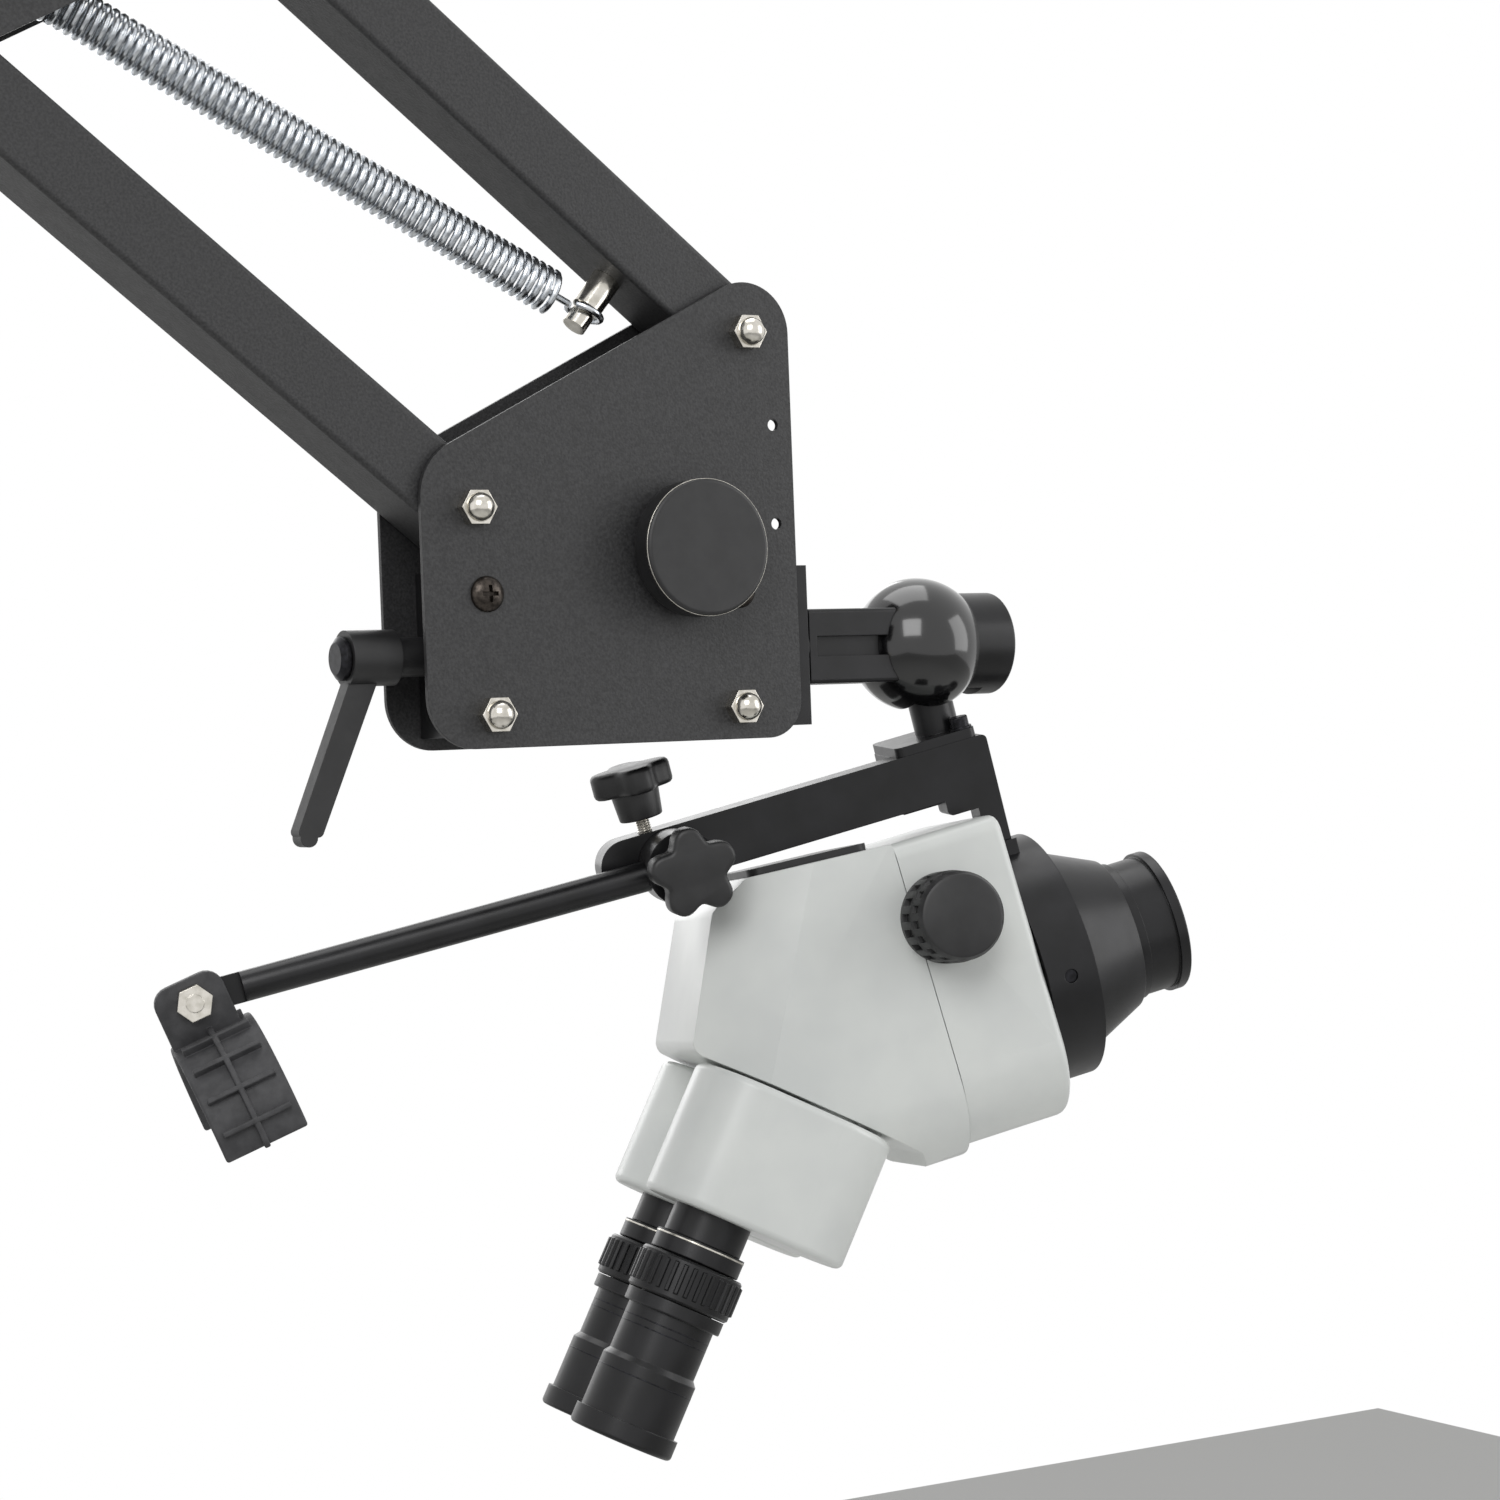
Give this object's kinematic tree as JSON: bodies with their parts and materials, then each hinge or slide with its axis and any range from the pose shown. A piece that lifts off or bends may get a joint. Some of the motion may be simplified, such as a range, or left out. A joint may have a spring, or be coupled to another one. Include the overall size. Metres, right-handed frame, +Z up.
{
  "type": "gem microscope",
  "caption": "Sprung parallel forearm carrying a stereo zoom microscope on a lockable ball joint, with a brow rest, for gem setting and bench work.",
  "frame": {"origin": "middle of the upper-left fixing bore of the two elbow plates", "axes": "+X along the arm's reach, +Y away from the side shown in the picture, +Z up"},
  "size_m": [0.4792, 0.1437, 0.6133],
  "materials": {
    "black_powder_coat": "textured powder coat",
    "black_anodised": "black anodised satin",
    "black_gloss": "gloss black enamel",
    "black_plastic": "moulded satin",
    "black_rubber": "matte",
    "pale_enamel": "pale satin enamel on cast aluminium",
    "bright_nickel": "nickel plated",
    "zinc_spring": "bright zinc plated wire",
    "black_steel": "blackened steel",
    "lens_glass": "coated glass"
  },
  "bodies": {
    "elbow": {"elbow_plate_near": "black_powder_coat", "elbow_plate_far": "black_powder_coat", "elbow_pivot_bolts": "bright_nickel", "spring_anchor_pin": "bright_nickel", "balance_spring": "zinc_spring"},
    "upper_arm": {"upper_tube": "black_powder_coat", "upper_tube_bushes": "bright_nickel", "spring_stud": "bright_nickel"},
    "lower_arm": {"lower_tube": "black_powder_coat", "lower_tube_bushes": "bright_nickel"},
    "head": {"head_plate_near": "black_powder_coat", "head_plate_far": "black_powder_coat", "head_bolts": "bright_nickel", "head_plate_screws": "bright_nickel", "clamp_block": "black_anodised", "tension_nut": "bright_nickel"},
    "tension_knob": {"tension_knob": "black_plastic"},
    "clamp_lever": {"clamp_lever": "black_plastic"},
    "swivel_bar": {"bar_spindle": "black_anodised", "grooved_bar": "black_anodised", "clamp_lever_screw": "black_steel", "ball_housing": "black_gloss", "ball_collar": "black_anodised", "friction_pad": "black_plastic"},
    "ball_clamp_nut": {"ball_clamp_nut": "bright_nickel"},
    "trunnion_ball": {"trunnion_ball": "black_anodised", "trunnion_pins": "bright_nickel"},
    "carrier": {"stem": "black_anodised", "stem_retainer": "bright_nickel", "carrier_plate": "black_anodised", "carrier_spacer": "black_anodised", "carrier_screws": "black_steel", "mounting_ring": "black_anodised"},
    "tee_knob": {"tee_knob": "black_plastic"},
    "rod_clamp": {"rod_clamp": "black_anodised", "rod_clamp_pivot_screw": "bright_nickel"},
    "star_knob": {"star_knob": "black_plastic"},
    "brow_rod": {"brow_rod": "black_anodised", "brow_rest_bolt": "bright_nickel"},
    "brow_rest": {"brow_rest": "black_rubber"},
    "microscope": {"front_shell": "pale_enamel", "main_shell": "pale_enamel", "back_cover": "black_plastic", "objective_cone": "black_anodised", "objective_lenses": "lens_glass", "auxiliary_lens_barrel": "black_anodised", "zoom_guide_rods": "bright_nickel"},
    "zoom_knobs": {"zoom_shaft": "bright_nickel", "zoom_knobs": "black_plastic"},
    "zoom_carriage": {"zoom_carriage": "black_anodised"},
    "prism_near": {"prism_housing_near": "pale_enamel", "eyepiece_sleeve_near": "black_anodised"},
    "prism_far": {"prism_housing_far": "pale_enamel", "eyepiece_sleeve_far": "black_anodised"},
    "eyepiece_near": {"eyepiece_near": "black_anodised", "eye_lens_near": "lens_glass"},
    "eyepiece_far": {"eyepiece_far": "black_anodised", "eye_lens_far": "lens_glass"},
    "dioptre_near": {"dioptre_ring_near": "black_anodised"},
    "dioptre_far": {"dioptre_ring_far": "black_anodised"}
  },
  "joints": [
    {"name": "upper_arm_pivot", "type": "hinge", "parent": "elbow", "child": "upper_arm", "pos_m": [0.0975, 0, -0.0677], "axis": [0, 1, 0], "range_deg": [-38, 35], "deforming": ["balance_spring"]},
    {"name": "lower_arm_pivot", "type": "hinge", "parent": "elbow", "child": "lower_arm", "pos_m": [-0.0068, 0, -0.1274], "axis": [0, 1, 0], "range_deg": [-38, 35]},
    {"name": "head_level", "type": "hinge", "parent": "upper_arm", "child": "head", "pos_m": [0.27935, 0, -0.21496], "axis": [0, 1, 0], "range_deg": [-35, 38]},
    {"name": "tension_knob_turn", "type": "hinge", "parent": "head", "child": "tension_knob", "pos_m": [0.25405, -0.0175, -0.28886], "axis": [0, 1, 0], "continuous": true},
    {"name": "clamp_lever_turn", "type": "hinge", "parent": "head", "child": "clamp_lever", "pos_m": [0.14605, 0, -0.32236], "axis": [1, 0, 0], "range_deg": [-60, 60]},
    {"name": "bar_swivel", "type": "hinge", "parent": "head", "child": "swivel_bar", "pos_m": [0.28605, 0, -0.32236], "axis": [1, 0, 0], "range_deg": [-60, 90]},
    {"name": "ball_nut_turn", "type": "hinge", "parent": "swivel_bar", "child": "ball_clamp_nut", "pos_m": [0.38945, 0, -0.32236], "axis": [1, 0, 0], "continuous": true},
    {"name": "ball_tilt", "type": "hinge", "parent": "swivel_bar", "child": "trunnion_ball", "pos_m": [0.35545, 0, -0.32236], "axis": [0, 1, 0], "range_deg": [-18, 2]},
    {"name": "stem_swivel", "type": "hinge", "parent": "trunnion_ball", "child": "carrier", "pos_m": [0.35545, 0, -0.32236], "axis": [-0.2419, 0, 0.9703], "range_deg": [-170, 170]},
    {"name": "tee_knob_turn", "type": "hinge", "parent": "carrier", "child": "tee_knob", "pos_m": [0.25242, 0.0201, -0.37897], "axis": [-0.2419, 0, 0.9703], "continuous": true},
    {"name": "rod_clamp_tilt", "type": "hinge", "parent": "carrier", "child": "rod_clamp", "pos_m": [0.26264, 0.01855, -0.396], "axis": [-0.2511, -0.9659, -0.0626], "range_deg": [-35, 35]},
    {"name": "star_knob_turn", "type": "hinge", "parent": "rod_clamp", "child": "star_knob", "pos_m": [0.25636, -0.0056, -0.39757], "axis": [0.2511, 0.9659, 0.0626], "continuous": true},
    {"name": "brow_rod_slide", "type": "slide", "parent": "rod_clamp", "child": "brow_rod", "axis": [0.9425, -0.2588, 0.2116], "range_m": [-0.008, 0.06]},
    {"name": "brow_rest_tilt", "type": "hinge", "parent": "brow_rod", "child": "brow_rest", "pos_m": [0.09739, 0.05098, -0.43318], "axis": [0.2511, 0.9659, 0.0626], "range_deg": [-2, 30]},
    {"name": "microscope_roll", "type": "hinge", "parent": "carrier", "child": "microscope", "pos_m": [0.38497, 0, -0.44074], "axis": [0.9372, -0.2588, 0.2337], "range_deg": [-5, 25]},
    {"name": "zoom_turn", "type": "hinge", "parent": "microscope", "child": "zoom_knobs", "pos_m": [0.35473, 0.01041, -0.42133], "axis": [0.2824, 0.9565, -0.073], "range_deg": [-106.5, 80.5]},
    {"name": "zoom_carriage_slide", "type": "slide", "parent": "microscope", "child": "zoom_carriage", "axis": [0.9372, -0.2588, 0.2337], "range_m": [-0.00977, 0.01295]},
    {"name": "eye_spacing_near", "type": "hinge", "parent": "microscope", "child": "prism_near", "pos_m": [0.30352, -0.009, -0.49014], "axis": [-0.4487, 0.0644, -0.8914], "range_deg": [-4, 20]},
    {"name": "eye_spacing_far", "type": "hinge", "parent": "microscope", "child": "prism_far", "pos_m": [0.31933, 0.04456, -0.49423], "axis": [-0.4487, 0.0644, -0.8914], "range_deg": [-20, 4]},
    {"name": "eyepiece_near_slide", "type": "slide", "parent": "prism_near", "child": "eyepiece_near", "axis": [-0.4487, 0.0644, -0.8914], "range_m": [0, 0.012]},
    {"name": "eyepiece_far_slide", "type": "slide", "parent": "prism_far", "child": "eyepiece_far", "axis": [-0.4487, 0.0644, -0.8914], "range_m": [0, 0.012]},
    {"name": "dioptre_near_turn", "type": "hinge", "parent": "eyepiece_near", "child": "dioptre_near", "pos_m": [0.25311, 0.00214, -0.53913], "axis": [-0.4487, 0.0644, -0.8914], "range_deg": [-120, 120]},
    {"name": "dioptre_far_turn", "type": "hinge", "parent": "eyepiece_far", "child": "dioptre_far", "pos_m": [0.26892, 0.0557, -0.54322], "axis": [-0.4487, 0.0644, -0.8914], "range_deg": [-120, 120]}
  ],
  "couplings": [
    {"joint": "lower_arm_pivot", "follows": "upper_arm_pivot", "ratio": 1},
    {"joint": "head_level", "follows": "upper_arm_pivot", "ratio": -1},
    {"joint": "zoom_turn", "follows": "zoom_carriage_slide", "rad_per_m": -142.86},
    {"joint": "eye_spacing_far", "follows": "eye_spacing_near", "ratio": -1}
  ]
}
